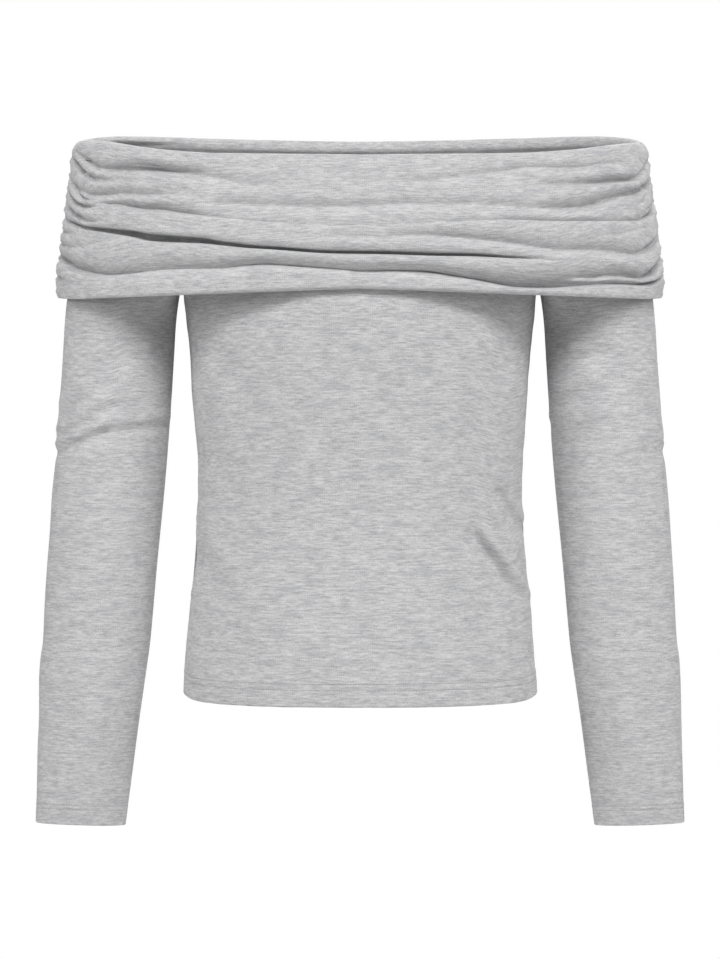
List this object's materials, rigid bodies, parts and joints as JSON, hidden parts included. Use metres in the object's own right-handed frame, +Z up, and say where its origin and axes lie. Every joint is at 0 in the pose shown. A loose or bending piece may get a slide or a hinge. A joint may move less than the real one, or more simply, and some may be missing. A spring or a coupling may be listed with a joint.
{
  "type": "off-shoulder long-sleeved top with a fold-over ruched band",
  "caption": "Hollow off-shoulder jersey top with long sleeves and a wide gathered band folded over at the neckline.",
  "frame": {"origin": "middle of the neckline, level with the shoulder ends of its top edge, where the wearer's upper arms hold it", "axes": "+Z up, the garment's front faces -Y, +X is to the viewer's right when the front is seen"},
  "size_m": [0.5754, 0.2285, 0.6173],
  "materials": {
    "jersey": "matt light grey melange fine rib jersey",
    "band_jersey": "matt light grey melange jersey, ruched double"
  },
  "bodies": {
    "root": {"body_front": "jersey", "body_back": "jersey", "sleeve_left": "jersey", "sleeve_right": "jersey", "band_front": "band_jersey", "band_back": "band_jersey"}
  },
  "joints": []
}
